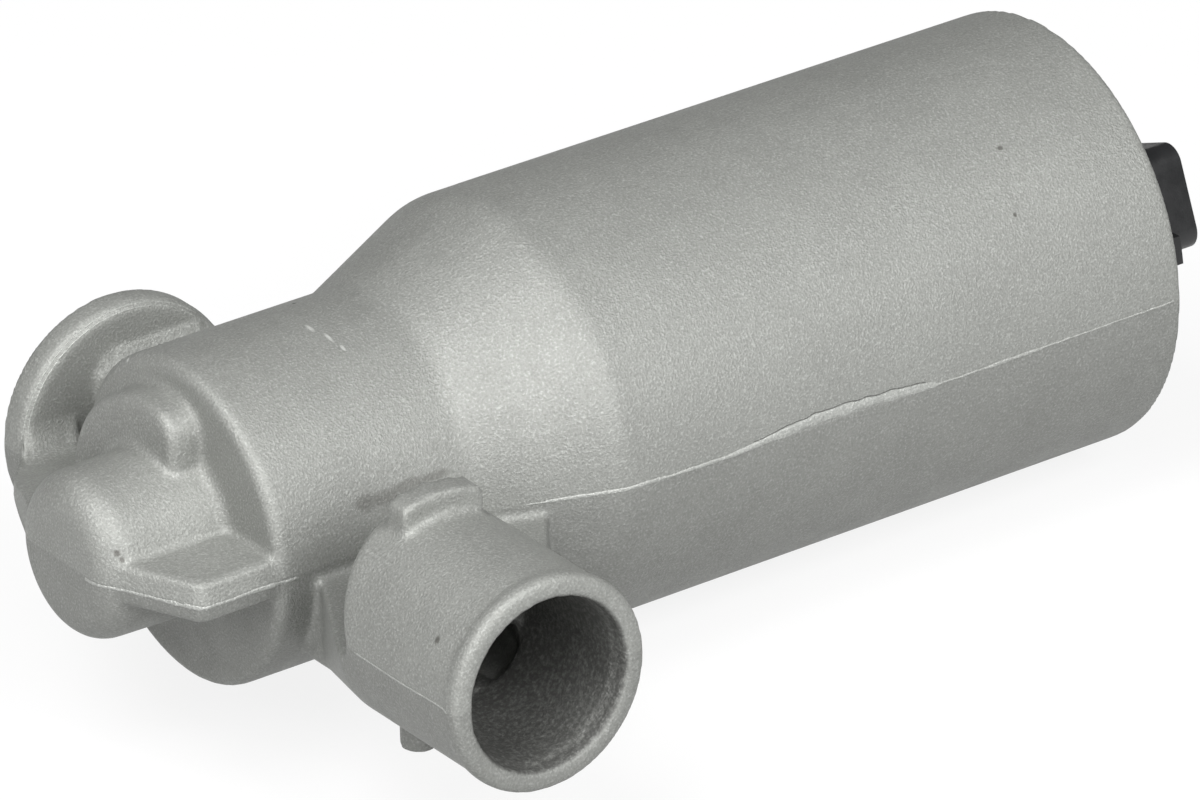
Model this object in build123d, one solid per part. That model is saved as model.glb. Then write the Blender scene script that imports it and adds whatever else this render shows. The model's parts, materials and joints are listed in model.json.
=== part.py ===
from build123d import *
import math
import os

# Idle air control valve with a rotary slide. Millimetres.
# The origin is on the rotor axis, in the middle of the clamp band of the motor barrel.
# +X runs along the rotor axis to the plug, +Z up from the casting's parting plane,
# and port 1 opens towards -Y, port 2 towards +Y.

# Housing, outside
band_to_ports = 67.0          # clamp band middle to the ports' common axis
band_to_rim = 36.4            # clamp band middle to the barrel's open end
barrel_r = 24.0
chamber_r = 17.93
chamber_nose_side = 8.66      # ports' axis to the chamber's end face
chamber_cone_side = 16.0      # ports' axis to the start of the cone
cone_length = 14.6
cone_blend = 6.5
chamber_edge = 1.2
boss_r = 9.3
boss_length = 14.84           # end face to the tip of the nose boss
boss_draft = 0.3
boss_edge = 3.7
boss_root = 1.4
pad_r = 14.7                  # arch pad round the nose boss, above the parting plane
pad_height = 3.84
pad_side = 4.6                # how far the pad reaches towards port 1
pad_corner = 3.2
pad_edge = 1.1
web_top = 2.5
web_under = 2.0
web_lean_angle = 12.0         # draft of the web's walls, away from the parting plane
web_edge = 0.5
web_corner = 1.6
web_slope = 0.444             # the web's outer line, along X for each mm along Y
web_tip_x = 26.0              # where the outer lines would meet, before the ports' axis
web_port_side = 17.7
web_bend = 16.4               # where the outer line bends towards the rim
web_bend_r = 20.0

# Port 1, the hose spigot
port_r = 11.54
port_wall = 2.44
port_bore_r = port_r - port_wall
port_reach = 52.9             # rotor axis to the mouth
port_leadin_step = 0.3
port_leadin_r = port_bore_r + port_leadin_step
port_leadin = 2.2
port_lip_step = 0.26
port_lip_r = port_r + port_lip_step
port_lip = 1.6
port_edge = 0.8
port_back = 33.3              # where the upper half of the spigot begins, at the parting plane
port_back_angle = 20.5        # lean of that back face
port_back_edge = 0.9
port_back_wall = 2.4
lug_width = 9.8
lug_offset = 0.4
lug_front = 34.6
lug_length = 3.1
lug_r = 14.3
lug_edge = 0.9
peg_r = 1.95
peg_reach = 16.7
peg_along = 29.3

# Neck between the chamber and port 1, below the parting plane only
neck_near = 4.0               # ports' axis to the neck's nose side, at the chamber
neck_far = 17.0               # ports' axis to the neck's motor side, at the chamber
neck_step = 1.1               # parting plane down to the neck's flat top
neck_depth = 12.4
neck_corner = 3.0
neck_root = 18.4              # rotor axis to the end of the neck's straight part
neck_full = 32.4              # rotor axis to where the neck is as wide as the spigot
neck_wall = 2.3
neck_roof = 1.6
neck_floor = 2.8
neck_rib = 3.3                # solid part between the low passage and the cone
gusset_x = 22.9               # outer corner of the gusset on the cone
gusset_out = 20.6
gusset_mid_x = 19.3
gusset_mid = 25.5
gusset_under = 8.0
passage_corner = 1.5
passage_end_corner = 3.0
passage_end_wall = 1.0        # spigot's bore wall to the end of the low passage

# Port 2, the rim
rim_r = 13.7
rim_face = 22.07
rim_reach = 25.76
rim_step = 0.45
rim_step_in = 0.7
rim_step_r = rim_r - rim_step_in
rim_edge = 0.5
rim_ring = 3.3
rim_bore_r = rim_r - rim_ring
rim_wall = 1.5                # the rim's side towards the chamber, pierced by the window only
rim_neck_far = 12.0
rim_neck_half = 8.6

# Housing, inside
end_wall = 2.5
chamber_wall = 3.03
chamber_bore_r = chamber_r - chamber_wall
pocket_r = 6.5                # both bearing seats
nose_shoulder = 3.6           # boss tip to the bearing's shoulder
nose_relief_r = 4.4
nose_relief = 1.4
partition_seat = 15.4         # ports' axis to the partition's shoulder
partition_ledge = 1.6
partition_r = chamber_bore_r + partition_ledge
partition_wall = 3.2
barrel_wall = 2.7
motor_bore_r = barrel_r - barrel_wall
motor_bore_start = 30.4
cover_seat = 5.6              # rim to the cover's shoulder
cover_ledge = 1.1
cover_bore_r = motor_bore_r + cover_ledge
lip = 0.9                     # rolled edge that holds the cover, as thick as it reaches in
lip_r = cover_bore_r - lip
stop_in_r = 9.9               # pocket in the arch pad for the slide's stop lug
stop_pocket_wide = 2.8
stop_out_r = stop_in_r + stop_pocket_wide
stop_depth = 4.1

# Rotary slide and its travel, degrees by the right-hand rule about +X from +Y
closed_angle = 18.0
open_angle = -37.0
slide_high_angle = 164.0
slide_low_angle = 206.0
slide_gap = 0.3
slide_wall = 1.8
slide_plate = 1.5
slide_end_gap = 0.4
slide_hub_r = 4.6
stop_angle = 62.0
stop_half_angle = 7.0
stop_spare_angle = 1.2
stop_gap = 0.3
pin_r = 0.8
pin_length = 9.0

# Shaft, its seal and bearings
seal_wall = 2.6
shaft_r = 3.0
journal_r = 2.0
bearing_width = 5.0
ball_r = 1.19
ball_circle_r = 4.25
ball_count = 7
ball_gap = 0.06
inner_ring_r = 3.15
outer_ring_r = 5.4
groove_depth = 0.45
cage_wall = 0.7
cage_width = 3.6
ring_edge = 0.3
journal_spare = 0.2           # how far each journal stands out of its bearing
running_gap = 0.05
seal_cup = 1.0                # thickness of the lip of the partition that holds the seal
seal_groove = 1.0
seal_lip = 0.75

# Motor
pole_tube_wall = 1.8
pole_tube_start = 31.0        # from the ports' axis, as all stations below
pole_tube_end = 81.0
slip_gap = 0.05
magnet_r = motor_bore_r - slip_gap - pole_tube_wall - slip_gap
magnet_wall = 3.9
magnet_start = 35.0
magnet_end = 77.0
magnet_half_angle = 74.0
air_gap = 0.5
core_r = magnet_r - magnet_wall - air_gap
core_start = 40.0
core_end = 72.0
core_web_half = 5.0
core_cap_wall = 5.6
core_cap = core_r - core_cap_wall
insulator = 0.8
coil_gap = 0.2
coil_top_gap = 0.3
coil_side_gap = 0.49          # from the end of the core's caps to the coil's side, before rounding
coil_web_gap = 0.3
coil_inner = core_web_half + coil_web_gap
coil_outer = round(math.sqrt(core_r ** 2 - core_cap ** 2) - coil_side_gap, 1)
coil_low = 3.5
coil_high = core_cap - coil_top_gap
coil_turn = 5.0
coil_corner = 4.0
coil_inner_corner = 1.0
insulator_inset = 0.1
clip_wall = 0.5
clip_half_angle = 13.0
clip_length = 30.0
clip_flange = 1.9             # how far the clip's bent edges reach in
clip_flange_angle = 0.8       # half the angle that each bent edge takes

# Contacts
drum_r = 6.0
drum_start = 82.0
drum_end = 93.0
segment_wall = 1.0
segment_start = 84.0
segment_end = 92.0
segment_half_angle = 50.0
segment_shift_angle = 9.5
brush_width = 4.0
brush_length = 5.6
brush_tail = 6.9
brush_tail_r = motor_bore_r - brush_tail
brush_x = 88.0
holder_start = 83.6
holder_end = 92.4
holder_in_r = 8.6
slot_spare = 1.0              # room behind a brush and its spring
brush_angles = (90.0, 210.0, 330.0)
spring_wall = 0.4
spring_width = 3.4
spring_inset = 3.7
spring_r = motor_bore_r - spring_inset
spring_foot = 3.0

# Cover, plug collar and terminals
cover_gap = 0.05
cover_inner = 97.85
cover_hub_r = 9.0
cover_hub_start = 94.0
rear_bearing_start = 94.2
washer = 0.5
seal_r = 0.62
seal_x = 100.3
collar_angle = 21.2
collar_long = 30.5
collar_short = 11.6
collar_shift = 0.7            # collar's middle above the rotor axis, along its short side
collar_corner = 2.2
collar_wall = 1.6
collar_reach = 9.0
collar_floor = 0.6
tab_reach = 2.4               # small rib on the cover beside the collar, past the barrel's rim
tab_low = 2.7
tab_width = 3.0
tab_wall = 2.0
blade_places = (0, -1, 1)     # where the blade of each brush stands in the row
blade_wide = 2.8
blade_thick = 0.8
blade_pitch = 5.0
blade_reach = 4.8
strip_x = 100.6
strip_wide = 2.4
strip_thick = 0.5
leg_half = 1.0                # half the thickness of the leg that meets a spring's foot
washer_rim = 0.1              # room round the washer in its pocket
washer_band = 1.9


def station(distance):
    """X of a plane this far from the ports' axis, towards the plug."""
    return distance - band_to_ports


chamber_end = station(-chamber_nose_side)
cone_start = station(chamber_cone_side)
cone_end = station(chamber_cone_side + cone_length)
boss_tip = chamber_end - boss_length
port_x = station(0)
inner_end = chamber_end + end_wall


def rod(start, end, radius, inner=0.0):
    """Round bar or tube on the rotor axis."""
    bar = Cylinder(radius, end - start, align=(Align.CENTER, Align.CENTER, Align.MIN))
    if inner:
        bar -= Cylinder(inner, end - start, align=(Align.CENTER, Align.CENTER, Align.MIN))
    return Pos(start, 0, 0) * Rot(0, 90, 0) * bar


def cross_rod(start, end, radius, side=-1):
    """Round bar on the ports' axis from start to end, measured from the rotor axis. Side -1 is port 1's."""
    bar = Cylinder(radius, end - start, align=(Align.CENTER, Align.CENTER, Align.MIN))
    return Pos(port_x, side * start, 0) * Rot(-90 * side, 0, 0) * bar


def block(x0, x1, y0, y1, z0, z1):
    """Box between two corners."""
    box = Box(abs(x1 - x0), abs(y1 - y0), abs(z1 - z0))
    return Pos((x0 + x1) / 2, (y0 + y1) / 2, (z0 + z1) / 2) * box


def sector(start, end, outer, inner, low, high):
    """Part of a tube on the rotor axis between two angles about +X, from +Y."""
    profile = Pos(start, inner, 0) * Rectangle(end - start, outer - inner, align=(Align.MIN, Align.MIN))
    return Rot(low, 0, 0) * revolve(profile, axis=Axis.X, revolution_arc=high - low)


def at_points(shape, points, tolerance=0.05):
    """The shape's corners that lie on the given X, Y points."""
    return [v for v in shape.vertices() for p in points
            if abs(v.X - p[0]) < tolerance and abs(v.Y - p[1]) < tolerance]


def outer_profile():
    """Half section of the barrel, cone, chamber and nose boss."""
    tip = (boss_tip, boss_r - boss_draft)
    root = (chamber_end, boss_r)
    chamber_corner = (chamber_end, chamber_r)
    cone_low = (cone_start, chamber_r)
    cone_high = (cone_end, barrel_r)
    rim = (band_to_rim, barrel_r)
    line = Polyline((boss_tip, 0), tip, root, chamber_corner, cone_low, cone_high, rim,
                    (band_to_rim, 0), close=True)
    face = make_face(line)
    for corner, radius in ((tip, boss_edge), (root, boss_root), (chamber_corner, chamber_edge),
                           (cone_low, cone_blend), (cone_high, cone_blend)):
        face = fillet(at_points(face, [corner]), radius)
    return face


def inner_profile():
    """Half section of the hollow: bearing seat, chamber, partition seat, motor bore, cover seat."""
    shoulder = boss_tip + nose_shoulder
    points = [(shoulder - nose_relief, 0), (shoulder - nose_relief, nose_relief_r),
              (shoulder, nose_relief_r), (shoulder, pocket_r), (inner_end, pocket_r),
              (inner_end, chamber_bore_r), (station(partition_seat), chamber_bore_r),
              (station(partition_seat), partition_r), (station(partition_seat) + partition_wall, partition_r),
              (station(motor_bore_start), motor_bore_r), (band_to_rim - cover_seat, motor_bore_r),
              (band_to_rim - cover_seat, cover_bore_r), (band_to_rim - lip, cover_bore_r),
              (band_to_rim - lip, lip_r), (band_to_rim, lip_r), (band_to_rim, 0)]
    return make_face(Polyline(*points, close=True))


def arch_pad():
    """Raised pad on the end face, a part of a disc with one flat side."""
    pad = rod(chamber_end - pad_height, chamber_end + 1, pad_r)
    pad &= block(chamber_end - pad_height, chamber_end + 1, -pad_side, pad_r, 0, pad_r)
    corner = [e for e in pad.edges().filter_by(Axis.X)
              if abs(e.center().Y + pad_side) < 0.1 and e.center().Z > 5]
    pad = fillet(corner, pad_corner)
    front = [e for e in pad.faces().sort_by(Axis.X)[0].edges() if e.center().Z > 0.5]
    return fillet(front, pad_edge)


def web():
    """Plate in the parting plane from the nose boss to the chamber and to port 2's rim."""
    def line_x(y):
        return station(-web_tip_x + web_slope * y)
    start = boss_r - 1.5
    inside = chamber_end + 2
    in_rim = rim_face + rim_wall / 2
    points = [(line_x(start), -start), (line_x(web_port_side), -web_port_side),
              (inside, -web_port_side), (inside, in_rim), (port_x - rim_r + rim_edge, in_rim),
              (line_x(web_bend), web_bend), (line_x(start), start)]
    face = make_face(Polyline(*points, close=True))
    face = fillet(at_points(face, [points[1]]), web_corner)
    face = fillet(at_points(face, [points[5]]), web_bend_r)
    plate = extrude(face, web_top, taper=web_lean_angle)
    plate += extrude(face, web_under, dir=(0, 0, -1), taper=web_lean_angle)
    rims = [e for e in plate.edges().group_by(Axis.Z)[0] + plate.edges().group_by(Axis.Z)[-1]
            if e.center().X < inside - 1 and abs(e.center().Y) > start]
    return fillet(rims, web_edge)


def trough_section(near, far, low, corner, top=0.0):
    """Section of a trough with rounded lower corners, drawn in X and Z."""
    points = [(near, top), (near, low), (far, low), (far, top)]
    face = make_face(Polyline(*points, close=True))
    return fillet(at_points(face, points[1:3]), corner)


def spigot():
    """Port 1: the round spigot with its leaning back, the lug on top and the peg below."""
    tube = cross_rod(neck_full - 6, port_reach, port_r)
    tube += cross_rod(port_reach - port_lip, port_reach, port_lip_r)
    mouth = [e for e in tube.edges().filter_by(GeomType.CIRCLE) if abs(e.center().Y + port_reach) < 0.01]
    tube = fillet(mouth, port_edge)
    # Above the parting plane the spigot starts with a leaning back face, below it runs into the neck
    wide = 2 * port_r
    behind = Pos(port_x, -port_back, 0) * Rot(-port_back_angle, 0, 0) * block(
        -wide, wide, 0, port_reach, -port_r, wide)
    upper = (tube & block(port_x - wide, port_x + wide, -port_reach, 0, 0, wide)) - behind
    rear = upper.faces().filter_by(GeomType.PLANE).sort_by(Axis.Y)[-1]
    upper = fillet([e for e in rear.edges() if e.geom_type == GeomType.ELLIPSE], port_back_edge)
    lower = tube & block(port_x - wide, port_x + wide, -port_reach, -port_back, -wide, 0)
    middle = port_x + lug_offset
    lug = cross_rod(lug_front - lug_length, lug_front, lug_r)
    lug &= block(middle - lug_width / 2, middle + lug_width / 2, -lug_front, 0, port_r / 2, lug_r)
    lug = fillet([e for e in lug.edges().filter_by(Axis.Y) if e.center().Z > port_r], lug_edge)
    peg = Pos(port_x, -peg_along, -peg_reach) * Cylinder(
        peg_r, peg_reach - port_r / 2, align=(Align.CENTER, Align.CENTER, Align.MIN))
    return upper + lower + lug + peg


def facing_port(distance):
    """Plane across port 1's axis, this far from the rotor axis, with X kept."""
    return Plane(origin=(port_x, -distance, 0), x_dir=(1, 0, 0), z_dir=(0, -1, 0))


def neck():
    """Trough and gusset below the parting plane, from the chamber and cone to the spigot."""
    near = trough_section(-neck_near, neck_far, -neck_depth, neck_corner)
    half_circle = trough_section(-port_r, port_r, -port_r, port_r - 0.01)
    trough = loft([facing_port(neck_root) * near, facing_port(neck_full) * half_circle], ruled=True)
    trough += extrude(facing_port(chamber_bore_r) * near, neck_root - chamber_bore_r)
    trough += cross_rod(neck_full, port_back, port_r)
    points = [(neck_near, chamber_bore_r), (gusset_x, chamber_bore_r), (gusset_x, gusset_out),
              (gusset_mid_x, gusset_mid), (port_r - 0.5, port_back), (neck_near, port_back)]
    plate = make_face(Polyline(*[(port_x + x, -y) for x, y in points], close=True))
    trough += Pos(0, 0, -gusset_under) * extrude(plate, gusset_under)
    return trough & block(port_x - barrel_r, port_x + barrel_r, -port_back, 0, -barrel_r, -neck_step)


def rim_port():
    """Port 2: a short neck and the wide round rim."""
    trough = block(port_x - neck_near, port_x + rim_neck_far, chamber_bore_r, rim_face + 1,
                   -rim_neck_half, rim_neck_half)
    trough = fillet(trough.edges().filter_by(Axis.Y), neck_corner)
    disc = cross_rod(rim_face, rim_reach, rim_r, side=1)
    disc -= cross_rod(rim_face - 1, rim_face + rim_step, rim_r + 1, side=1) - cross_rod(
        rim_face - 1, rim_face + rim_step, rim_step_r, side=1)
    disc = fillet([e for e in disc.edges().filter_by(GeomType.CIRCLE)
                   if abs(e.radius - rim_r) < 0.01], rim_edge)
    return trough + disc


def port_passages():
    """Air paths: port 1's bore and its low passage, port 2's bore and its window."""
    back = port_back + port_back_wall
    bore = cross_rod(back, port_reach + 1, port_bore_r)
    bore += cross_rod(port_reach - port_leadin, port_reach + 1, port_leadin_r)
    start = -neck_near + neck_wall
    roof = -neck_step - neck_roof
    end_half = port_bore_r - passage_end_wall
    slot = trough_section(start, neck_far - neck_wall - neck_rib, -neck_depth + neck_floor,
                          passage_corner, roof)
    slot_end = trough_section(-end_half, end_half, -end_half, passage_end_corner, roof)
    passage = loft([facing_port(chamber_bore_r - 3) * slot, facing_port(back + 0.5) * slot_end], ruled=True)
    rim_bore = cross_rod(rim_face + rim_wall, rim_reach + 1, rim_bore_r, side=1)
    window = block(port_x + start, port_x + rim_neck_far - neck_wall, chamber_bore_r - 3,
                   rim_face + rim_wall, -rim_neck_half + neck_wall, rim_neck_half - neck_wall)
    window = fillet(window.edges().filter_by(Axis.Y), passage_corner)
    return bore + passage + rim_bore + window


def stop_pocket():
    """Pocket inside the arch pad where the slide's stop lug travels."""
    low = stop_angle + open_angle - stop_half_angle - stop_spare_angle
    high = stop_angle + closed_angle + stop_half_angle + stop_spare_angle
    return sector(inner_end - stop_depth, inner_end + 0.5, stop_out_r, stop_in_r, low, high)


def make_housing():
    shell = revolve(outer_profile(), axis=Axis.X)
    shell += arch_pad() + web() + neck() + spigot() + rim_port()
    shell -= revolve(inner_profile(), axis=Axis.X)
    shell -= port_passages()
    shell -= stop_pocket()
    return shell


def make_partition():
    """Disc between the chamber and the motor, pressed against the housing's shoulder."""
    start = station(partition_seat)
    end = start + partition_wall
    disc = rod(start, end, partition_r, shaft_r + running_gap + seal_wall)
    return disc + rod(end - seal_cup, end, shaft_r + running_gap + seal_wall, shaft_r + seal_cup)


def make_shaft_seal():
    """Rubber ring in the partition with a lip on the shaft."""
    start = station(partition_seat)
    inner = shaft_r + running_gap
    ring = rod(start, start + partition_wall - seal_cup, inner + seal_wall, inner)
    return ring - rod(start, start + seal_groove, inner + seal_wall - seal_lip, inner + seal_lip)


def bearing_rings(start):
    """Outer and inner ring of a small ball bearing, each with its ball groove."""
    end = start + bearing_width
    middle = (start + end) / 2
    groove = Pos(middle, 0, 0) * Rot(0, 90, 0) * Torus(ball_circle_r, ball_r + ball_gap)
    outer = rod(start, end, pocket_r, outer_ring_r - groove_depth) - groove
    outer = chamfer(outer.edges().filter_by(GeomType.CIRCLE).filter_by(
        lambda e: abs(e.radius - pocket_r) < 0.01), ring_edge)
    inner = rod(start, end, inner_ring_r + groove_depth, journal_r) - groove
    return outer, inner


def bearing_balls(start):
    """The balls, separate solids in one group."""
    middle = start + bearing_width / 2
    balls = []
    for i in range(ball_count):
        balls.append(Rot(i * 360 / ball_count, 0, 0) * Pos(middle, ball_circle_r, 0) * Sphere(ball_r))
    return Compound(children=balls)


def bearing_cage(start):
    """Thin ring with a round hole for each ball."""
    middle = start + bearing_width / 2
    cage = rod(middle - cage_width / 2, middle + cage_width / 2,
               ball_circle_r + cage_wall / 2, ball_circle_r - cage_wall / 2)
    for i in range(ball_count):
        cage -= Rot(i * 360 / ball_count, 0, 0) * Pos(middle, ball_circle_r, 0) * Sphere(
            ball_r + running_gap)
    return cage


def make_shaft():
    """Steel shaft: a journal in each bearing, full size between them."""
    nose = nose_bearing_start()
    rear = station(rear_bearing_start)
    shaft = rod(nose + bearing_width, rear, shaft_r)
    shaft += rod(nose - journal_spare, nose + bearing_width, journal_r)
    shaft += rod(rear, rear + bearing_width + journal_spare, journal_r)
    return shaft - slide_pin_hole()


def nose_bearing_start():
    return boss_tip + nose_shoulder


def slide_start():
    return inner_end + slide_end_gap


def slide_end():
    return station(partition_seat) - slide_end_gap


def slide_pin_hole():
    middle = (slide_start() + slide_end()) / 2
    return Pos(middle, 0, 0) * Cylinder(pin_r, pin_length)


def make_slide():
    """Rotary slide: hub, two end plates, the curved wall that covers the window, and the stop lug."""
    start, end = slide_start(), slide_end()
    outer = chamber_bore_r - slide_gap
    slide = rod(start, end, slide_hub_r)
    slide += sector(start, end, outer, outer - slide_wall, slide_high_angle, slide_low_angle)
    slide += sector(start, start + slide_plate, outer, shaft_r, slide_high_angle, slide_low_angle)
    slide += sector(end - slide_plate, end, outer, shaft_r, slide_high_angle, slide_low_angle)
    arm_low = stop_angle - stop_half_angle
    arm_high = stop_angle + stop_half_angle
    arm_r = stop_out_r - stop_gap
    slide += sector(start, start + slide_plate, arm_r, shaft_r, arm_low, arm_high)
    slide += sector(inner_end - stop_depth + stop_gap, start + slide_plate,
                    arm_r, stop_in_r + stop_gap, arm_low, arm_high)
    return slide - rod(start, end, shaft_r) - slide_pin_hole()


def make_magnet(side):
    """Curved magnet inside the pole tube, above (side 1) or below (side -1) the rotor."""
    middle = 90 * side
    return sector(station(magnet_start), station(magnet_end), magnet_r, magnet_r - magnet_wall,
                  middle - magnet_half_angle, middle + magnet_half_angle)


def core_shape(start, end, gap=0.0):
    """Bar with an I-shaped section: a web across the shaft and two curved pole caps."""
    bar = rod(start, end, core_r - gap, shaft_r)
    for side in (-1, 1):
        bar -= block(start, end, side * (core_web_half - gap), side * barrel_r,
                     -core_cap - gap, core_cap + gap)
    return bar


def make_winding(side):
    """Flat coil round the core's web, above (side 1) or below (side -1) the shaft."""
    x0 = station(core_start) - coil_turn
    x1 = station(core_end) + coil_turn
    window = station(core_end) - station(core_start) + 2 * (insulator + coil_gap)
    outer = RectangleRounded(x1 - x0, 2 * coil_outer, coil_corner)
    inner = RectangleRounded(window, 2 * coil_inner, coil_inner_corner)
    flat = Pos((x0 + x1) / 2, 0, 0) * (outer - inner)
    low = coil_low if side > 0 else -coil_high
    return Pos(0, 0, low) * extrude(flat, coil_high - coil_low)


def make_clip(side):
    """Curved spring strip between the magnets, on port 1's or port 2's side."""
    middle = 0 if side > 0 else 180
    low = middle - clip_half_angle
    high = middle + clip_half_angle
    centre = station((magnet_start + magnet_end) / 2)
    start = centre - clip_length / 2
    end = centre + clip_length / 2
    strip = sector(start, end, magnet_r, magnet_r - clip_wall, low, high)
    for edge in (low, high):
        strip += sector(start, end, magnet_r, magnet_r - clip_wall - clip_flange,
                        edge - clip_flange_angle, edge + clip_flange_angle)
    return strip


def make_drum():
    start, end = station(drum_start), station(drum_end)
    drum = rod(start, end, drum_r, shaft_r)
    flange_r = drum_r + segment_wall
    drum += rod(start, station(segment_start), flange_r, shaft_r)
    return drum + rod(station(segment_end), end, flange_r, shaft_r)


def make_segments():
    """Three copper segments round the drum, separate solids in one group."""
    pieces = []
    for angle in brush_angles:
        middle = angle + segment_shift_angle
        pieces.append(sector(station(segment_start), station(segment_end), drum_r + segment_wall, drum_r,
                             middle - segment_half_angle, middle + segment_half_angle))
    return Compound(children=pieces)


def brush_slot(wide, x0, x1, r0, r1):
    """Block on +Y, from radius r0 to r1, to be turned to a brush angle."""
    return block(x0, x1, r0, r1, -wide / 2, wide / 2)


def make_holder():
    """Plastic ring in the motor bore with three radial slots for the brushes and springs."""
    start, end = station(holder_start), station(holder_end)
    holder = rod(start, end, motor_bore_r - slip_gap, holder_in_r)
    half = brush_length / 2 + slip_gap
    wide = brush_width + 2 * slip_gap
    middle = station(brush_x)
    slot = brush_slot(wide, middle - half, middle + half, drum_r, spring_r + slot_spare)
    slot += brush_slot(wide, middle, end, brush_tail_r - slot_spare, spring_r + slot_spare)
    for angle in brush_angles:
        holder -= Rot(angle, 0, 0) * slot
    return holder


def make_brush(angle):
    """Carbon brush, its end curved to the drum."""
    middle = station(brush_x)
    start = middle - brush_length / 2
    end = middle + brush_length / 2
    brush = brush_slot(brush_width, start, end, drum_r, brush_tail_r)
    return Rot(angle, 0, 0) * (brush - rod(start, end, drum_r + segment_wall + running_gap))


def make_spring(angle):
    """Leaf spring: a foot on the cover, a leg along the rotor and a hook that presses the brush."""
    foot = station(cover_inner)
    middle = station(brush_x)
    leg = brush_slot(spring_width, middle, foot, spring_r - spring_wall, spring_r)
    hook = brush_slot(spring_width, middle, middle + spring_wall, brush_tail_r, spring_r)
    pad = brush_slot(spring_width, foot - spring_wall, foot, spring_r - spring_foot, spring_r)
    return Rot(angle, 0, 0) * (leg + hook + pad)


def make_terminal(angle, place):
    """Blade in the plug collar, a strip inside the cover, and a leg to a spring's foot."""
    along = place * blade_pitch
    strip_start = station(strip_x)
    blade = Rot(-collar_angle, 0, 0) * block(
        strip_start, band_to_rim + blade_reach, along - blade_wide / 2, along + blade_wide / 2,
        collar_shift - blade_thick / 2, collar_shift + blade_thick / 2)
    foot_r = spring_r - spring_foot / 2
    root = Vector(0, along, collar_shift).rotate(Axis.X, -collar_angle)
    foot = Vector(0, foot_r, 0).rotate(Axis.X, angle)
    length = math.hypot(foot.Y - root.Y, foot.Z - root.Z) + strip_wide
    lean = math.degrees(math.atan2(foot.Z - root.Z, foot.Y - root.Y))
    strip = block(strip_start, strip_start + strip_thick, -length / 2, length / 2,
                  -strip_wide / 2, strip_wide / 2)
    strip = Pos(0, (root.Y + foot.Y) / 2, (root.Z + foot.Z) / 2) * Rot(lean, 0, 0) * strip
    leg = Rot(angle, 0, 0) * brush_slot(strip_wide, station(cover_inner), strip_start + strip_thick,
                                        foot_r - leg_half, foot_r + leg_half)
    return blade + strip + leg


def collar_block(long, short, corner, x0, x1):
    """Rounded block along X, turned as the plug collar is."""
    face = RectangleRounded(long, short, corner)
    plane = Plane(origin=(x0, 0, collar_shift), x_dir=(0, 1, 0), z_dir=(1, 0, 0))
    return Rot(-collar_angle, 0, 0) * extrude(plane * face, x1 - x0)


def make_cover(terminals):
    """Black plastic end cover: disc, bearing hub and plug collar, moulded round the terminals."""
    inner = station(cover_inner)
    outer = band_to_rim - lip
    pocket_end = station(rear_bearing_start) + bearing_width + washer
    cover = rod(inner, outer, cover_bore_r - cover_gap)
    cover += rod(station(cover_hub_start), inner, cover_hub_r)
    cover -= rod(station(cover_hub_start), pocket_end, pocket_r)
    cover -= rod(station(seal_x) - seal_r, station(seal_x) + seal_r, cover_bore_r,
                 cover_bore_r - 2 * seal_r)
    tip = band_to_rim + collar_reach
    cover += collar_block(collar_long, collar_short, collar_corner, outer, tip)
    cover -= collar_block(collar_long - 2 * collar_wall, collar_short - 2 * collar_wall,
                          collar_corner - collar_wall, outer + collar_floor, tip)
    rib = rod(outer, band_to_rim + tab_reach, lip_r - cover_gap, lip_r - tab_wall)
    cover += rib & block(outer, band_to_rim + tab_reach, -lip_r, 0, tab_low, tab_low + tab_width)
    for terminal in terminals:
        cover -= terminal
    return cover


def make_cover_seal():
    """Rubber ring between the cover and the housing."""
    return Pos(station(seal_x), 0, 0) * Rot(0, 90, 0) * Torus(cover_bore_r - seal_r, seal_r)


def make_washer():
    """Cone-shaped spring washer that loads the rear bearing."""
    start = station(rear_bearing_start) + bearing_width
    outer = pocket_r - washer_rim
    points = [(start, outer), (start + washer / 2, outer), (start + washer, outer - washer_band),
              (start + washer / 2, outer - washer_band)]
    return revolve(make_face(Polyline(*points, close=True)), axis=Axis.X)


def all_pieces():
    """Every node of the valve by name."""
    terminals = [make_terminal(angle, place) for angle, place in zip(brush_angles, blade_places)]
    pieces = {
        "housing": make_housing(),
        "partition_disc": make_partition(),
        "shaft_seal": make_shaft_seal(),
        "rotor_shaft": make_shaft(),
        "rotary_slide": make_slide(),
        "slide_pin": slide_pin_hole(),
        "pole_tube": rod(station(pole_tube_start), station(pole_tube_end), motor_bore_r - slip_gap,
                         motor_bore_r - slip_gap - pole_tube_wall),
        "magnet_upper": make_magnet(1),
        "magnet_lower": make_magnet(-1),
        "magnet_clip_inlet_side": make_clip(-1),
        "magnet_clip_outlet_side": make_clip(1),
        "armature_core": core_shape(station(core_start), station(core_end)),
        "insulator_front": core_shape(station(core_start) - insulator, station(core_start), insulator_inset),
        "insulator_rear": core_shape(station(core_end), station(core_end) + insulator, insulator_inset),
        "winding_open": make_winding(1),
        "winding_close": make_winding(-1),
        "contact_drum": make_drum(),
        "contact_segments": make_segments(),
        "brush_holder": make_holder(),
        "end_cover": make_cover(terminals),
        "cover_seal": make_cover_seal(),
        "preload_washer": make_washer(),
    }
    for place, start in (("nose", nose_bearing_start()), ("rear", station(rear_bearing_start))):
        outer, inner = bearing_rings(start)
        pieces[place + "_bearing_outer_ring"] = outer
        pieces[place + "_bearing_inner_ring"] = inner
        pieces[place + "_bearing_balls"] = bearing_balls(start)
        pieces[place + "_bearing_cage"] = bearing_cage(start)
    for index, angle in enumerate(brush_angles):
        pieces["brush_%d" % (index + 1)] = make_brush(angle)
        pieces["brush_spring_%d" % (index + 1)] = make_spring(angle)
        pieces["terminal_%d" % (index + 1)] = terminals[index]
    return pieces


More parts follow.
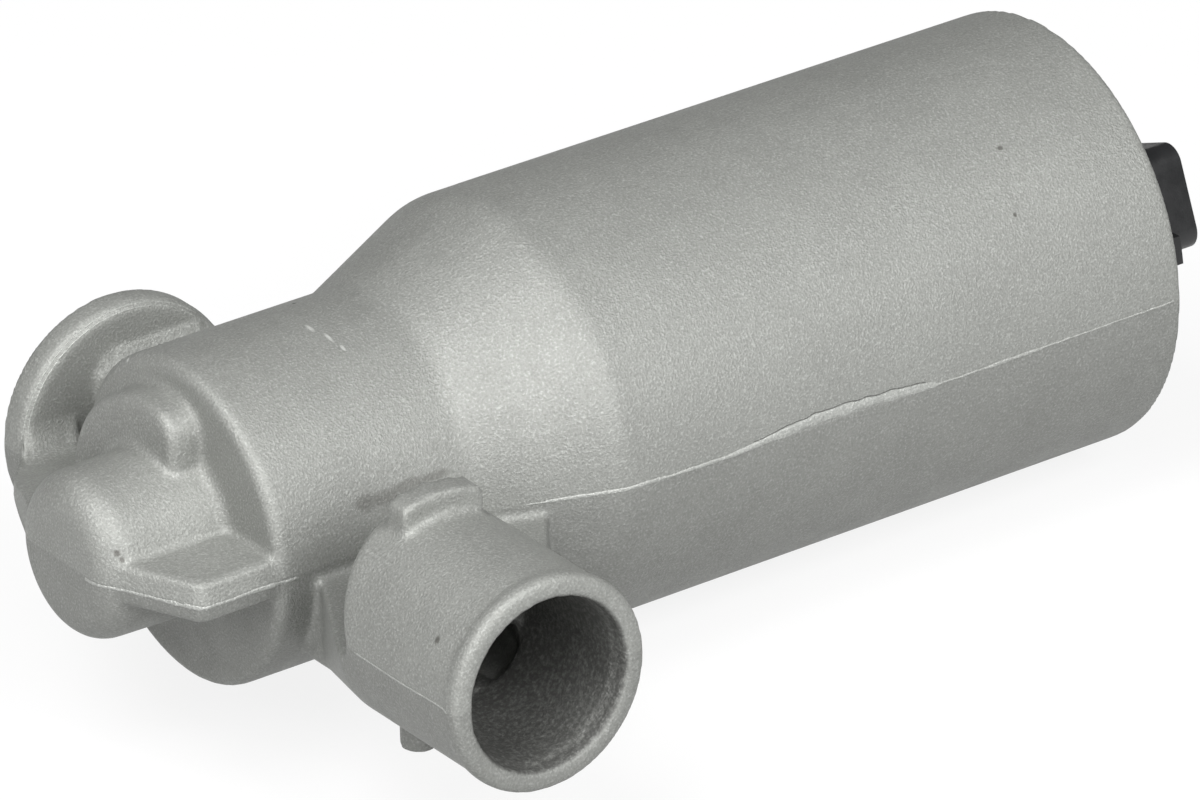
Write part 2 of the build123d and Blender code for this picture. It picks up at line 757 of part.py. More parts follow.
os.makedirs("parts", exist_ok=True)
for name, solid in all_pieces().items():
    export_step(solid, "parts/%s.step" % name)
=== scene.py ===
import bpy
import json
import math
import numpy as np
from mathutils import Matrix, Vector, noise
from mathutils.bvhtree import BVHTree


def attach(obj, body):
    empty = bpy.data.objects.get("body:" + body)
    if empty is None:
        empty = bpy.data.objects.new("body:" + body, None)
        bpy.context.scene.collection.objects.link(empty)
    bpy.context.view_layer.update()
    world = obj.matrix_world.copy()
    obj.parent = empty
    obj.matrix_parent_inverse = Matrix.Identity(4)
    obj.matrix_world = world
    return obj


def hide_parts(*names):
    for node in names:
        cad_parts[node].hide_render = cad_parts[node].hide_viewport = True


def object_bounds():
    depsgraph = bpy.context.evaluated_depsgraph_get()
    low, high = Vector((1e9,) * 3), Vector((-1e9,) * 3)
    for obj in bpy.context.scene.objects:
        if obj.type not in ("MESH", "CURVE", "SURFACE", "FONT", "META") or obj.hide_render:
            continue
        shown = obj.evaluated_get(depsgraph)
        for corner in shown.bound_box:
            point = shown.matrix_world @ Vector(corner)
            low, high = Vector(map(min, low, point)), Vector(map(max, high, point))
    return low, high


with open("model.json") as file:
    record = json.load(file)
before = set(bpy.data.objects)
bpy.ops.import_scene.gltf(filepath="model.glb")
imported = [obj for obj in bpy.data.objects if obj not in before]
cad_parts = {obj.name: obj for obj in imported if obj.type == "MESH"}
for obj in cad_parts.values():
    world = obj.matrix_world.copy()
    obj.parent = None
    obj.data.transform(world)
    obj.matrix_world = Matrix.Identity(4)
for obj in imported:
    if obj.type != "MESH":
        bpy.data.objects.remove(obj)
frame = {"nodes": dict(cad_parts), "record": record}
cad_low, cad_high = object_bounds()

MM = 0.001
nodes = frame["nodes"]

# Places on the casting, in metres, as the frame has them
PORT_X = -67.0 * MM
BARREL_R = 24.0 * MM
CHAMBER_R = 17.93 * MM
PORT_R = 11.54 * MM
PORT_BORE_R = 9.1 * MM
RIM_R = 13.7 * MM
CONE_END = -36.4 * MM
BARREL_END = 36.4 * MM
PORT_REACH = 52.9 * MM

RIM_FACE = 22.07 * MM
RIM_END = 25.76 * MM

# Soft cast skin of the housing: grid, smoothing, and how near a round wall a point is set on it
VOXEL = 0.42 * MM
SMOOTH_TURNS = 2
SNAP = 0.12 * MM
EDGE = 1.2 * MM
SPIGOT_ROOT = -36 * MM
BORE_ROOT = -37 * MM
TRIANGLE_LIMIT = 190000

# Neck of port 2 and far end of the web, which the scene sets lower
NECK_FLAT = 6.9 * MM
NECK_START = 12 * MM
NECK_LOW = -72 * MM
NECK_HIGH = -54 * MM
WEB_TOP = 2.5 * MM
WEB_FALL = 2.1 * MM
WEB_START = 11 * MM
WEB_RUN = 8 * MM
WEB_LOW = -75.9 * MM
WEB_HIGH = -71.8 * MM

# Inside of the valve chamber, and the pocket of the slide's stop
INSIDE_R = 16.6 * MM
INSIDE_LOW = -75.2 * MM
INSIDE_HIGH = -40.0 * MM
POCKET_IN = 9.6 * MM
POCKET_OUT = 13.0 * MM
POCKET_LOW = -77.6 * MM
POCKET_HIGH = -73.4 * MM
POCKET_ROOM = 0.12 * MM


# Shader helpers

def new_material(name):
    """Empty node material: its tree, and its principled shader wired to the output."""
    material = bpy.data.materials.new(name)
    material.use_nodes = True
    tree = material.node_tree
    tree.nodes.clear()
    shader = tree.nodes.new("ShaderNodeBsdfPrincipled")
    output = tree.nodes.new("ShaderNodeOutputMaterial")
    tree.links.new(shader.outputs["BSDF"], output.inputs["Surface"])
    return material, tree, shader


def place(tree):
    """Position on the object, in metres."""
    return tree.nodes.new("ShaderNodeTexCoord").outputs["Object"]


def noise_at(tree, where, size, detail=2.0, roughness=0.5, distortion=0.0):
    """Noise with features of about this size."""
    node = tree.nodes.new("ShaderNodeTexNoise")
    node.inputs["Scale"].default_value = 1.0 / size
    node.inputs["Detail"].default_value = detail
    node.inputs["Roughness"].default_value = roughness
    node.inputs["Distortion"].default_value = distortion
    tree.links.new(where, node.inputs["Vector"])
    return node.outputs["Fac"]


def cells_at(tree, where, size, feature="F1"):
    """Distance to the nearest of randomly spread points, about this far apart."""
    node = tree.nodes.new("ShaderNodeTexVoronoi")
    node.feature = feature
    node.inputs["Scale"].default_value = 1.0 / size
    tree.links.new(where, node.inputs["Vector"])
    return node.outputs["Distance"]


def ranged(tree, value, low, high, to_low=0.0, to_high=1.0):
    """The value's stretch from low to high, mapped smoothly to another stretch."""
    node = tree.nodes.new("ShaderNodeMapRange")
    node.interpolation_type = "SMOOTHSTEP"
    node.inputs["From Min"].default_value = low
    node.inputs["From Max"].default_value = high
    node.inputs["To Min"].default_value = to_low
    node.inputs["To Max"].default_value = to_high
    tree.links.new(value, node.inputs["Value"])
    return node.outputs["Result"]


def math_of(tree, operation, first, second):
    """One arithmetic step; second is a socket or a number."""
    node = tree.nodes.new("ShaderNodeMath")
    node.operation = operation
    tree.links.new(first, node.inputs[0])
    if isinstance(second, (int, float)):
        node.inputs[1].default_value = second
    else:
        tree.links.new(second, node.inputs[1])
    return node.outputs["Value"]


def vector_of(tree, operation, first, second):
    """One arithmetic step on a vector; second is three numbers."""
    node = tree.nodes.new("ShaderNodeVectorMath")
    node.operation = operation
    tree.links.new(first, node.inputs[0])
    node.inputs[1].default_value = second
    return node.outputs["Vector"]


def length_of(tree, vector):
    """Length of a vector."""
    node = tree.nodes.new("ShaderNodeVectorMath")
    node.operation = "LENGTH"
    tree.links.new(vector, node.inputs[0])
    return node.outputs["Value"]


def axis_of(tree, vector, axis):
    """The vector's part along one axis."""
    node = tree.nodes.new("ShaderNodeSeparateXYZ")
    tree.links.new(vector, node.inputs["Vector"])
    return node.outputs[axis]


def blended(tree, factor, first, second):
    """Mix of two colours, each a socket or a tuple."""
    node = tree.nodes.new("ShaderNodeMix")
    node.data_type = "RGBA"
    tree.links.new(factor, node.inputs["Factor"])
    for colour, socket in ((first, node.inputs[6]), (second, node.inputs[7])):
        if isinstance(colour, tuple):
            socket.default_value = (*colour, 1.0)
        else:
            tree.links.new(colour, socket)
    return node.outputs[2]


def bumped(tree, height, depth, strength=1.0, below=None):
    """Surface normal tilted by a height from 0 to 1 that stands for this depth."""
    node = tree.nodes.new("ShaderNodeBump")
    node.inputs["Strength"].default_value = strength
    node.inputs["Distance"].default_value = depth
    tree.links.new(height, node.inputs["Height"])
    if below is not None:
        tree.links.new(below, node.inputs["Normal"])
    return node.outputs["Normal"]


# Materials

CAST_MID = (0.290, 0.296, 0.279)
CAST_DARK = (0.222, 0.226, 0.213)
CAST_LIGHT = (0.385, 0.391, 0.374)
CAST_PIT = (0.050, 0.050, 0.047)
# Colour of the stains, and of the painted shade behind the lug
STAIN_AND_SHADE = (0.120, 0.118, 0.108)
# Painted shade: colour that darkens the wall of port 1's bore
BORE_SHADE_COLOUR = (0.085, 0.085, 0.080)
# Painted shade: how much the colour below the parting line is darkened
LOWER_HALF_SHADE = 0.14
# Burr colours, also used for the painted highlights round port 2's rim
FLASH_AND_HIGHLIGHT_MID = (0.400, 0.408, 0.388)
FLASH_AND_HIGHLIGHT_DARK = (0.300, 0.306, 0.290)
FLASH_AND_HIGHLIGHT_LIGHT = (0.520, 0.528, 0.506)
# Painted shade: colour of the dark line along the barrel above its burr
CREASE_SHADE_COLOUR = (0.110, 0.112, 0.105)

# Marks on the casting, and painted shade with dirt behind the lug: middle and half sizes, in millimetres
DARK_SPOTS = [((19.8, -14.25, 19.3), (0.35, 0.3, 0.3)), ((17.7, -19.45, 14.1), (0.25, 0.25, 0.3)),
              ((-76.8, -47.5, 6.1), (0.4, 0.35, 0.5)), ((-88.6, -7.8, 3.6), (0.4, 0.4, 0.4)),
              ((-88.3, -8.2, 2.9), (0.3, 0.3, 0.35))]
# Painted shade with dirt: soft dark patches behind the lug, where it meets the chamber
LUG_SHADE_AND_DIRT = [((-64.2, -17.1, 5.3), (1.4, 1.5, 1.0)), ((-61.8, -17.1, 5.2), (2.0, 1.5, 0.8)),
              ((-58.8, -17.1, 5.6), (2.4, 1.5, 0.7)), ((-55.6, -17.1, 5.6), (2.2, 1.5, 0.5))]
# Small light patches on the chamber and on its end edge, in the burr's light colour
LIGHT_SPOTS = [((-75.35, 9.1, 14.9), (0.25, 0.25, 0.3)), ((-59.9, -1.6, 17.85), (0.25, 0.8, 0.5)),
               ((-59.2, -3.9, 17.45), (0.2, 0.9, 0.5)), ((-58.8, -5.9, 16.9), (0.2, 0.5, 0.4))]


def spots(tree, where, places):
    """1 in each small oval patch, 0 outside them, with a soft ragged border."""
    total = None
    for middle, half in places:
        apart = vector_of(tree, "SUBTRACT", where, [part * MM for part in middle])
        scaled = vector_of(tree, "DIVIDE", apart, [part * MM for part in half])
        patch = ranged(tree, length_of(tree, scaled), 0.5, 1.3, 1.0, 0.0)
        total = patch if total is None else math_of(tree, "MAXIMUM", total, patch)
    ragged = ranged(tree, noise_at(tree, where, 0.4 * MM, 3.0, 0.7), 0.25, 0.55, 0.35, 1.0)
    return math_of(tree, "MULTIPLY", total, ragged)


def cast_skin(name, mid, dark, light, roughness, grain_depth):
    """Raw die-cast skin: matt, with a fine bead grain and faint mottling. Gives the colour too."""
    material, tree, shader = new_material(name)
    where = place(tree)
    mottle = ranged(tree, noise_at(tree, where, 7 * MM, 4.0, 0.6), 0.2, 0.8, 0.62, 1.0)
    colour = blended(tree, mottle, dark, mid)
    bead = noise_at(tree, where, 0.26 * MM, 2.0, 0.55)
    colour = blended(tree, ranged(tree, bead, 0.30, 0.52, 0.75, 0.0), colour, dark)
    colour = blended(tree, ranged(tree, bead, 0.52, 0.74, 0.0, 0.95), colour, light)
    speck = ranged(tree, noise_at(tree, where, 0.5 * MM, 3.0, 0.75), 0.68, 0.78)
    colour = blended(tree, speck, colour, light)
    shader.inputs["Metallic"].default_value = 0.35
    rough = ranged(tree, noise_at(tree, where, 3 * MM, 3.0, 0.6), 0.3, 0.7,
                   roughness - 0.04, roughness + 0.05)
    tree.links.new(rough, shader.inputs["Roughness"])
    wave = bumped(tree, noise_at(tree, where, 5 * MM, 2.0, 0.5), 0.05 * MM, 0.5)
    normal = bumped(tree, bead, grain_depth, 1.0, wave)
    tree.links.new(normal, shader.inputs["Normal"])
    return material, tree, shader, where, colour


def in_bore(tree, where):
    """1 on the wall of port 1's bore, 0 elsewhere."""
    apart = vector_of(tree, "SUBTRACT", where, (PORT_X, 0, 0))
    radius = length_of(tree, vector_of(tree, "MULTIPLY", apart, (1, 0, 1)))
    near = ranged(tree, radius, PORT_BORE_R + 0.35 * MM, PORT_BORE_R + 0.7 * MM, 1.0, 0.0)
    deep = ranged(tree, axis_of(tree, where, "Y"), -33 * MM, -31 * MM, 1.0, 0.0)
    return math_of(tree, "MULTIPLY", near, deep)


def cast_aluminium():
    """The casting's skin: painted shade in the bore and on the lower half, pits, stains, painted shade
    with dirt behind the lug, and small light patches.
    """
    material, tree, shader, where, colour = cast_skin(
        "cast_aluminium_skin", CAST_MID, CAST_DARK, CAST_LIGHT, 0.55, 0.10 * MM)
    # Painted shade: the bore's wall is darkened, unevenly
    painted_bore_shade = math_of(tree, "MULTIPLY", in_bore(tree, where),
                   ranged(tree, noise_at(tree, where, 0.5 * MM, 3.0, 0.7), 0.40, 0.72, 0.85, 0.25))
    colour = blended(tree, painted_bore_shade, colour, BORE_SHADE_COLOUR)
    # Painted shade: below the parting line the colour is darkened towards black
    painted_lower_shade = ranged(tree, axis_of(tree, where, "Z"), 0.1 * MM, 0.5 * MM, LOWER_HALF_SHADE, 0.0)
    colour = blended(tree, painted_lower_shade, colour, (0.0, 0.0, 0.0))
    pits = ranged(tree, cells_at(tree, where, 16 * MM), 0.012, 0.02, 1.0, 0.0)
    colour = blended(tree, pits, colour, CAST_PIT)
    colour = blended(tree, spots(tree, where, DARK_SPOTS), colour, STAIN_AND_SHADE)
    # Painted shade with dirt behind the lug
    soft = math_of(tree, "MULTIPLY", spots(tree, where, LUG_SHADE_AND_DIRT), 0.6)
    colour = blended(tree, soft, colour, STAIN_AND_SHADE)
    colour = blended(tree, spots(tree, where, LIGHT_SPOTS), colour, FLASH_AND_HIGHLIGHT_LIGHT)
    tree.links.new(colour, shader.inputs["Base Color"])
    return material


def cast_strip(name, mid, dark, light, roughness, grain_depth):
    """Skin of a burr, of the painted highlights on port 2's rim, or of the painted shade line above the
    barrel's burr, without the marks of the housing.
    """
    material, tree, shader, _, colour = cast_skin(name, mid, dark, light, roughness, grain_depth)
    tree.links.new(colour, shader.inputs["Base Color"])
    return material


def metal(name, colour, roughness, line=0.05 * MM, depth=0.01 * MM):
    """Worked metal: a slight change of shade and fine marks."""
    material, tree, shader = new_material(name)
    where = place(tree)
    shade = ranged(tree, noise_at(tree, where, 4 * MM, 3.0, 0.6), 0.3, 0.7)
    dark = tuple(0.82 * part for part in colour)
    tree.links.new(blended(tree, shade, dark, colour), shader.inputs["Base Color"])
    shader.inputs["Metallic"].default_value = 1.0
    rough = ranged(tree, noise_at(tree, where, 1.2 * MM, 3.0, 0.6), 0.3, 0.7,
                   roughness * 0.85, roughness * 1.15)
    tree.links.new(rough, shader.inputs["Roughness"])
    marks = noise_at(tree, where, line * 4, 3.0, 0.6)
    tree.links.new(bumped(tree, marks, depth, 0.6), shader.inputs["Normal"])
    return material


def moulded(name, colour, roughness, grain=0.25 * MM, depth=0.02 * MM):
    """Plastic or rubber: fine moulded grain and slightly uneven gloss."""
    material, tree, shader = new_material(name)
    where = place(tree)
    shade = ranged(tree, noise_at(tree, where, 5 * MM, 3.0, 0.6), 0.3, 0.7)
    dark = tuple(0.75 * part for part in colour)
    tree.links.new(blended(tree, shade, dark, colour), shader.inputs["Base Color"])
    rough = ranged(tree, noise_at(tree, where, 2 * MM, 3.0, 0.6), 0.3, 0.7,
                   roughness * 0.85, roughness * 1.15)
    tree.links.new(rough, shader.inputs["Roughness"])
    marks = noise_at(tree, where, grain, 2.0, 0.6)
    tree.links.new(bumped(tree, marks, depth, 0.7), shader.inputs["Normal"])
    return material


def all_materials():
    """One finish for each material slot of the record."""
    return {
        "cast_aluminium": cast_aluminium(),
        "machined_aluminium": metal("machined_aluminium_turned", (0.62, 0.63, 0.64), 0.32),
        "steel": metal("steel_ground", (0.48, 0.48, 0.49), 0.28),
        "core_steel": metal("core_steel_sheets", (0.16, 0.165, 0.17), 0.45),
        "spring_steel": metal("spring_steel_rolled", (0.30, 0.30, 0.31), 0.35),
        "spring_bronze": metal("spring_bronze_rolled", (0.50, 0.28, 0.10), 0.35),
        "tinned_brass": metal("tinned_brass_plated", (0.58, 0.56, 0.50), 0.30),
        "copper": metal("copper_bare", (0.62, 0.25, 0.14), 0.35),
        "enamelled_copper": metal("enamelled_copper_wire", (0.32, 0.09, 0.03), 0.30),
        "ferrite": moulded("ferrite_pressed", (0.030, 0.030, 0.033), 0.60),
        "carbon": moulded("carbon_pressed", (0.020, 0.020, 0.020), 0.50),
        "black_plastic": moulded("black_plastic_moulded", (0.016, 0.0165, 0.0175), 0.42),
        "pale_plastic": moulded("pale_plastic_moulded", (0.55, 0.49, 0.33), 0.45),
        "rubber": moulded("rubber_matt", (0.012, 0.012, 0.012), 0.65),
    }


def finish_nodes(materials):
    """Each CAD node gets the finish of its slot in the record."""
    slots = {part["node"]: part["material_slot"] for part in frame["record"]["subparts"]}
    for name, node in nodes.items():
        for slot in node.material_slots:
            slot.material = materials[slots[name]]
        if not node.material_slots:
            node.data.materials.append(materials[slots[name]])


# The casting's skin

def applied(piece):
    """The piece with its modifiers worked into its mesh."""
    graph = bpy.context.evaluated_depsgraph_get()
    mesh = bpy.data.meshes.new_from_object(piece.evaluated_get(graph))
    piece.modifiers.clear()
    piece.data = mesh
    return piece


def snap_round(points, across, along, low, high, radius):
    """Points near a round wall are set on it. across are the two axes of its section."""
    a, b = across
    distance = np.hypot(points[:, a], points[:, b])
    near = (np.abs(distance - radius) < SNAP) & (points[:, along] > low) & (points[:, along] < high)
    scale = radius / distance[near]
    points[near, a] *= scale
    points[near, b] *= scale


def lower_neck(points):
    """The neck of port 2 and the far end of the web are set a little lower than in the solid."""
    x, y, z = points[:, 0], points[:, 1], points[:, 2]
    outside = (np.hypot(y, z) > CHAMBER_R + 0.2 * MM) & (y < RIM_FACE - 0.4 * MM)
    flat = np.maximum(NECK_FLAT, np.sqrt(np.maximum(CHAMBER_R ** 2 - y ** 2, 0.0)))
    neck = outside & (y > NECK_START) & (z > flat) & (x > NECK_LOW) & (x < NECK_HIGH)
    points[neck, 2] = flat[neck]
    slope = WEB_TOP - WEB_FALL * np.clip((y - WEB_START) / WEB_RUN, 0.0, 1.0)
    free = (x < WEB_LOW) | (outside & (x < WEB_HIGH))
    web = free & (y > WEB_START) & (y < RIM_FACE - 0.3 * MM) & (z > slope) & (z < WEB_TOP + 0.6 * MM)
    points[web, 2] = slope[web]


def true_inside(points):
    """Points in the valve chamber and the stop's pocket go back on the solid's own surface."""
    solid = BVHTree.FromObject(nodes["housing"], bpy.context.evaluated_depsgraph_get())
    x, y, z = points[:, 0], points[:, 1], points[:, 2]
    radius = np.hypot(y, z)
    chamber = (radius < INSIDE_R) & (x > INSIDE_LOW) & (x < INSIDE_HIGH)
    pocket = (radius > POCKET_IN) & (radius < POCKET_OUT) & (x > POCKET_LOW) & (x < POCKET_HIGH)
    pocket &= (y > -1 * MM) & (z > 0)
    for index in np.nonzero(chamber | pocket)[0]:
        spot, normal, _, _ = solid.find_nearest(Vector(points[index]))
        points[index] = spot - (POCKET_ROOM if pocket[index] else 0.0) * normal


def soft_casting():
    """Copy of the housing whose edges are softened as a die leaves them."""
    piece = bpy.data.objects.new("housing_casting", nodes["housing"].data.copy())
    bpy.context.scene.collection.objects.link(piece)
    remesh = piece.modifiers.new("skin", "REMESH")
    remesh.mode = "VOXEL"
    remesh.voxel_size = VOXEL
    smooth = piece.modifiers.new("soft", "SMOOTH")
    smooth.factor = 0.5
    smooth.iterations = SMOOTH_TURNS
    applied(piece)
    mesh = piece.data
    points = np.empty(len(mesh.vertices) * 3)
    mesh.vertices.foreach_get("co", points)
    points = points.reshape(-1, 3)
    snap_round(points, (1, 2), 0, CONE_END + 4 * EDGE, BARREL_END - EDGE, BARREL_R)
    shifted = points - np.array([PORT_X, 0, 0])
    snap_round(shifted, (0, 2), 1, -PORT_REACH + 2.2 * EDGE, SPIGOT_ROOT, PORT_R)
    snap_round(shifted, (0, 2), 1, -PORT_REACH + 2.2 * EDGE, BORE_ROOT, PORT_BORE_R)
    snap_round(shifted, (0, 2), 1, RIM_FACE + EDGE, RIM_END - EDGE / 2, RIM_R)
    points = shifted + np.array([PORT_X, 0, 0])
    lower_neck(points)
    true_inside(points)
    mesh.vertices.foreach_set("co", points.ravel())
    mesh.update()
    triangles = 2 * len(mesh.polygons)
    if triangles > TRIANGLE_LIMIT:
        thin = piece.modifiers.new("thin", "DECIMATE")
        thin.ratio = TRIANGLE_LIMIT / triangles
        applied(piece)
    piece.data.shade_smooth()
    return piece


# Burrs along the parting line

SECTION = 0.25 * MM
ACROSS = 7
SINK = 0.06 * MM


def wander(place_along, size, seed):
    """Smooth random value from -1 to 1 along a line, the same each run."""
    return noise.noise(Vector((place_along / size, seed, 0.5)))


def swell(value, middle, half):
    """1 at the middle of a stretch, falling softly to 0 at its ends."""
    share = (value - middle) / half
    return max(0.0, 1.0 - share * share) ** 1.5


def burr(name, rays, material):
    """Uneven ridge on the casting. Each ray is a start, a direction, a half width and a height."""
    surface = BVHTree.FromObject(casting, bpy.context.evaluated_depsgraph_get())
    rows = []
    for start, direction, half, height in rays:
        hit, normal, _, _ = surface.ray_cast(start, direction)
        if hit is not None:
            rows.append((hit, normal, half, height))
    last = len(rows) - 1
    points = []
    for index, (hit, normal, half, height) in enumerate(rows):
        along = (rows[min(index + 1, last)][0] - rows[max(index - 1, 0)][0]).normalized()
        across = normal.cross(along).normalized()
        end = min(1.0, index / 4, (last - index) / 4)
        for step in range(ACROSS):
            side = 2 * step / (ACROSS - 1) - 1
            rough = 1 + 0.5 * noise.noise(hit * 2200 + Vector((side, 0, 0)))
            lift = height * end * rough * (1 - side ** 4) - SINK * abs(side) ** 3 - SINK * (1 - end)
            point = hit + across * (side * half) + normal * lift
            points.append([min(max(part, low), high) for part, low, high in zip(point, cad_low, cad_high)])
    faces = []
    for index in range(last):
        for step in range(ACROSS - 1):
            a = index * ACROSS + step
            faces.append((a, a + 1, a + ACROSS + 1, a + ACROSS))
    mesh = bpy.data.meshes.new(name)
    mesh.from_pydata(points, [], faces)
    mesh.shade_smooth()
    mesh.materials.append(material)
    piece = bpy.data.objects.new(name, mesh)
    bpy.context.scene.collection.objects.link(piece)
    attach(piece, "valve_body")


# The burr on the barrel at a few stations: place along X, height and half width, in millimetres
BARREL_LINE = [(-46.8, 0.45, 0.09), (-44.6, 0.48, 0.12), (-43.8, 0.52, 0.25), (-35.5, 0.72, 0.28),
               (-31.0, 0.55, 0.20), (-23.0, 0.40, 0.30), (-17.2, 0.83, 0.52), (-11.5, 1.22, 0.66),
               (-5.7, 1.06, 0.62), (-0.1, 0.72, 0.55), (3.0, 0.42, 0.42), (3.9, 0.30, 0.13),
               (9.5, 0.22, 0.13), (11.0, 0.22, 0.26), (17.0, 0.26, 0.24), (18.6, 0.28, 0.12),
               (36.2, 0.32, 0.12)]


def barrel_rays():
    """From the gusset over the cone and along the barrel, on port 1's side."""
    rays = []
    stations = [row[0] * MM for row in BARREL_LINE]
    x = stations[0]
    while x < stations[-1]:
        z = float(np.interp(x, stations, [row[1] * MM for row in BARREL_LINE]))
        wide = float(np.interp(x, stations, [row[2] * MM for row in BARREL_LINE]))
        z += 0.05 * MM * wander(x, 1.2 * MM, 2.0)
        wide += 0.3 * wide * wander(x, 1.5 * MM, 3.0)
        high = 0.07 * MM + 0.05 * MM * swell(x, -20 * MM, 30 * MM) + 0.02 * MM * wander(x, 2 * MM, 4.0)
        rays.append((Vector((x, -40 * MM, z)), Vector((0, 1, 0)), wide, high))
        x += SECTION
    return rays


def crease_shade_rays(rays, low, high):
    """Thin dark strip of painted shade just above the burr, between two stations."""
    return [(start + Vector((0, 0, wide + 0.03 * MM)), aim, 0.07 * MM, 0.05 * MM)
            for start, aim, wide, _ in rays if low < start.x < high]


def far_rays():
    """The same line on the hidden side of the barrel, thin and even."""
    rays = []
    x = -34 * MM
    while x < 36.1 * MM:
        z = 0.10 * MM * wander(x, 9 * MM, 5.0)
        rays.append((Vector((x, 40 * MM, z)), Vector((0, -1, 0)), 0.16 * MM, 0.07 * MM))
        x += SECTION
    return rays


def spigot_rays():
    """Fine line along the spigot's nose side."""
    rays = []
    y = -52.2 * MM
    while y < -34.5 * MM:
        z = 0.20 * MM + 0.10 * MM * wander(y, 5 * MM, 6.0)
        wide = 0.13 * MM + 0.03 * MM * wander(y, 1.2 * MM, 7.0)
        rays.append((Vector((-90 * MM, y, z)), Vector((1, 0, 0)), wide, 0.06 * MM))
        y += SECTION
    return rays


def rim_highlight_rays(radius, back):
    """Painted highlight line round the upper half of port 2's rim: on its round when back is given."""
    rays = []
    turn = 45.0
    while turn < 175.0:
        out = Vector((math.cos(math.radians(turn)), 0, math.sin(math.radians(turn))))
        start = Vector((PORT_X, RIM_FACE + back, 0)) + radius * out
        aim = -out if back > 0 else Vector((0, 1, 0))
        rays.append((start, aim, 0.10 * MM + 0.03 * MM * wander(turn, 9.0, radius * 1000), 0.04 * MM))
        turn += 1.2
    return rays


NOSE_LINE = [(-92.0, -3.6), (-91.6, -6.4), (-90.4, -9.2), (-88.4, -14.0), (-86.6, -18.0), (-83.0, -19.5),
             (-77.0, -19.5), (-72.5, -19.5)]


def nose_rays():
    """Over the boss's edge and along the web's outer line to the neck."""
    rays = []
    for first, second in zip(NOSE_LINE, NOSE_LINE[1:]):
        one = Vector((first[0] * MM, first[1] * MM, 0))
        two = Vector((second[0] * MM, second[1] * MM, 0))
        steps = max(1, int((two - one).length / SECTION))
        for step in range(steps):
            start = one.lerp(two, step / steps)
            aim = Vector((max(start.x, -80 * MM), 0.45 * start.y, 0))
            start.z = 0.08 * MM * wander(start.y - start.x, 2.5 * MM, 8.0)
            aim.z = start.z
            thick = max(0.0, wander(start.y - start.x, 1.3 * MM, 9.0))
            rays.append((start, (aim - start).normalized(), 0.20 * MM + 0.22 * MM * thick,
                         0.05 * MM + 0.08 * MM * thick))
    return rays


# Stage, lamps and camera

# Soft boxes: azimuth and elevation in degrees, and how bright the face is
BOXES = [("right_box", 275, 40, 9.6), ("front_box", 250, 40, 2.6), ("low_front_box", 265, 15, 3.2),
         ("left_box", 200, 40, 6.4), ("high_left_box", 195, 62, 7.8), ("low_left_box", 215, 15, 2.7)]
BOX_AWAY = 1.1
BOX_SIZE = 0.5
BOX_TARGET = (-0.015, -0.01, 0.0)


def lamp(name, azimuth, elevation, radiance):
    """Soft box that faces the object. Its power follows from its size and how bright its face is."""
    light = bpy.data.lights.new(name, "AREA")
    light.shape = "RECTANGLE"
    light.size = BOX_SIZE
    light.size_y = BOX_SIZE
    light.energy = radiance * math.pi * BOX_SIZE * BOX_SIZE
    turn, rise = math.radians(azimuth), math.radians(elevation)
    direction = Vector((math.cos(rise) * math.cos(turn), math.cos(rise) * math.sin(turn), math.sin(rise)))
    box = bpy.data.objects.new(name, light)
    box.location = Vector(BOX_TARGET) + BOX_AWAY * direction
    box.rotation_euler = direction.to_track_quat("Z", "Y").to_euler()
    box.visible_camera = False
    bpy.context.scene.collection.objects.link(box)


def studio():
    """Pale floor, faint world light and the soft boxes."""
    world = bpy.data.worlds.new("studio")
    world.use_nodes = True
    sky = world.node_tree.nodes["Background"]
    sky.inputs["Color"].default_value = (1.0, 1.0, 1.0, 1.0)
    sky.inputs["Strength"].default_value = 0.12
    bpy.context.scene.world = world
    for box in BOXES:
        lamp(*box)
    half = 3.0
    mesh = bpy.data.meshes.new("floor")
    corners = [(-half, -half, 0), (half, -half, 0), (half, half, 0), (-half, half, 0)]
    mesh.from_pydata(corners, [], [(0, 1, 2, 3)])
    floor = bpy.data.objects.new("floor", mesh)
    floor.location = (0, 0, cad_low[2])
    bpy.context.scene.collection.objects.link(floor)
    mesh.materials.append(floor_paper())


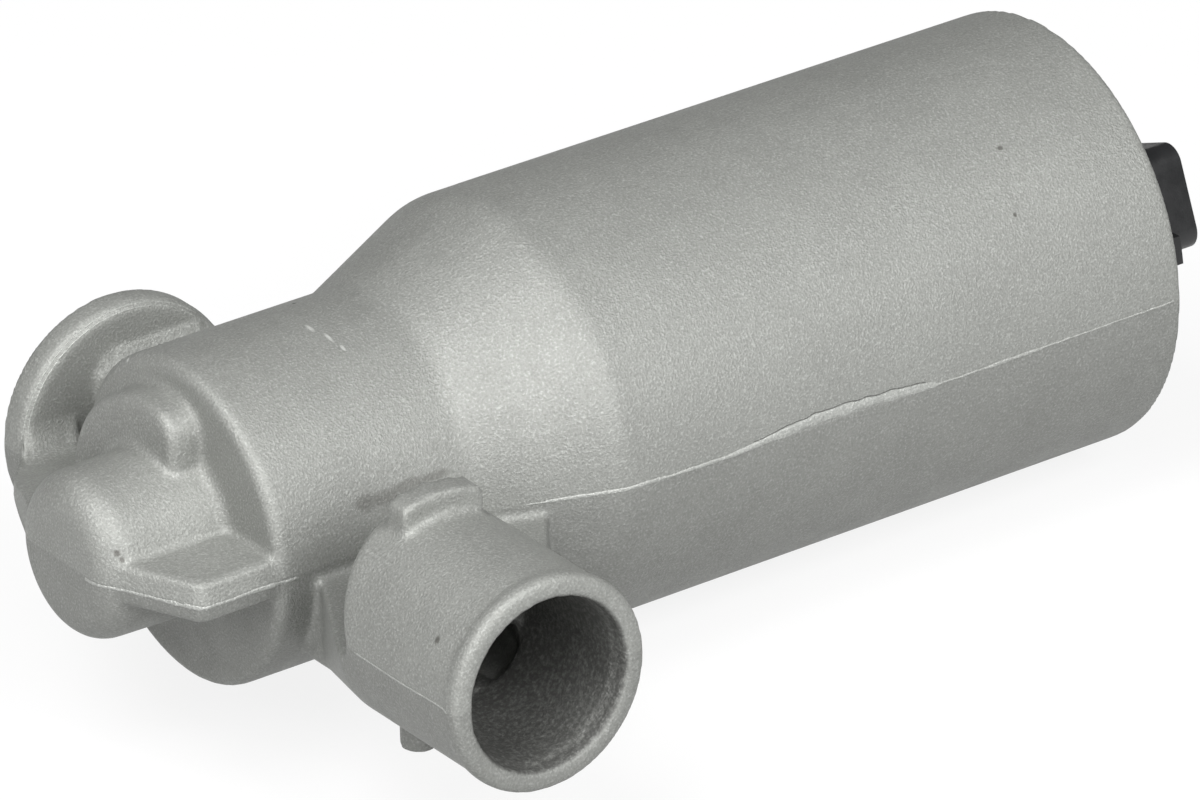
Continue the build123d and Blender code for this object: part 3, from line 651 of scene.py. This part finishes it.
def floor_paper():
    """White paper that looks white, keeps a soft shadow, and throws little light back up."""
    material, tree, shader = new_material("floor_paper")
    shade = ranged(tree, noise_at(tree, place(tree), 0.4, 2.0, 0.5), 0.3, 0.7)
    tree.links.new(blended(tree, shade, (0.92, 0.92, 0.92), (0.94, 0.94, 0.94)),
                   shader.inputs["Base Color"])
    shader.inputs["Roughness"].default_value = 0.9
    glow = tree.nodes.new("ShaderNodeEmission")
    glow.inputs["Color"].default_value = (1.0, 1.0, 1.0, 1.0)
    glow.inputs["Strength"].default_value = 1.0
    seen = tree.nodes.new("ShaderNodeMixShader")
    seen.inputs["Fac"].default_value = 0.85
    tree.links.new(shader.outputs["BSDF"], seen.inputs[1])
    tree.links.new(glow.outputs["Emission"], seen.inputs[2])
    dim = tree.nodes.new("ShaderNodeBsdfDiffuse")
    dim.inputs["Color"].default_value = (0.35, 0.35, 0.35, 1.0)
    light_path = tree.nodes.new("ShaderNodeLightPath")
    rays = math_of(tree, "ADD", light_path.outputs["Is Camera Ray"], light_path.outputs["Is Glossy Ray"])
    rays = math_of(tree, "ADD", rays, light_path.outputs["Is Transmission Ray"])
    choice = tree.nodes.new("ShaderNodeMixShader")
    tree.links.new(rays, choice.inputs["Fac"])
    tree.links.new(dim.outputs["BSDF"], choice.inputs[1])
    tree.links.new(seen.outputs["Shader"], choice.inputs[2])
    output = [node for node in tree.nodes if node.type == "OUTPUT_MATERIAL"][0]
    tree.links.new(choice.outputs["Shader"], output.inputs["Surface"])
    return material


def camera():
    """Long lens, down from the left front, as the photograph was taken."""
    data = bpy.data.cameras.new("camera")
    data.sensor_width = 36.0
    data.lens = 347.52
    data.clip_start = 0.01
    right = Vector((0.8089, -0.5875, -0.0238))
    up = Vector((0.2793, 0.3483, 0.8948))
    back = right.cross(up).normalized()
    up = back.cross(right.normalized())
    turn = Matrix((right.normalized(), up, back)).transposed()
    view = bpy.data.objects.new("camera", data)
    view.matrix_world = Matrix.Translation((-0.65250, -0.88932, 0.54014)) @ turn.to_4x4()
    bpy.context.scene.collection.objects.link(view)
    bpy.context.scene.camera = view


materials = all_materials()
finish_nodes(materials)
casting = soft_casting()
casting.data.materials.clear()
casting.data.materials.append(materials["cast_aluminium"])
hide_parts("housing")
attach(casting, "valve_body")
# Burr skin, also used for the painted highlights round port 2's rim
flash_and_highlight = cast_strip("cast_aluminium_flash_and_highlight", FLASH_AND_HIGHLIGHT_MID, FLASH_AND_HIGHLIGHT_DARK, FLASH_AND_HIGHLIGHT_LIGHT, 0.48, 0.14 * MM)
# Painted shade for the dark line above the barrel's burr
painted_crease_shade = cast_strip("cast_aluminium_crease_shade", CREASE_SHADE_COLOUR, CREASE_SHADE_COLOUR, CAST_DARK, 0.6, 0.10 * MM)
barrel_line = barrel_rays()
burr("barrel_burr", barrel_line, flash_and_highlight)
# Painted shade: a dark strip along the line above the barrel's burr
burr("barrel_crease_shade", crease_shade_rays(barrel_line, -21 * MM, 3 * MM), painted_crease_shade)
burr("far_side_burr", far_rays(), flash_and_highlight)
burr("spigot_burr", spigot_rays(), flash_and_highlight)
burr("nose_burr", nose_rays(), flash_and_highlight)
# Painted highlights: bright ridges along the two edges of port 2's rim
burr("rim_outer_painted_highlight", rim_highlight_rays(RIM_R + 2 * MM, 0.45 * MM), flash_and_highlight)
burr("rim_inner_painted_highlight", rim_highlight_rays(RIM_R - 0.75 * MM, -1.5 * MM), flash_and_highlight)
studio()
camera()
bpy.context.scene.view_settings.view_transform = "Standard"
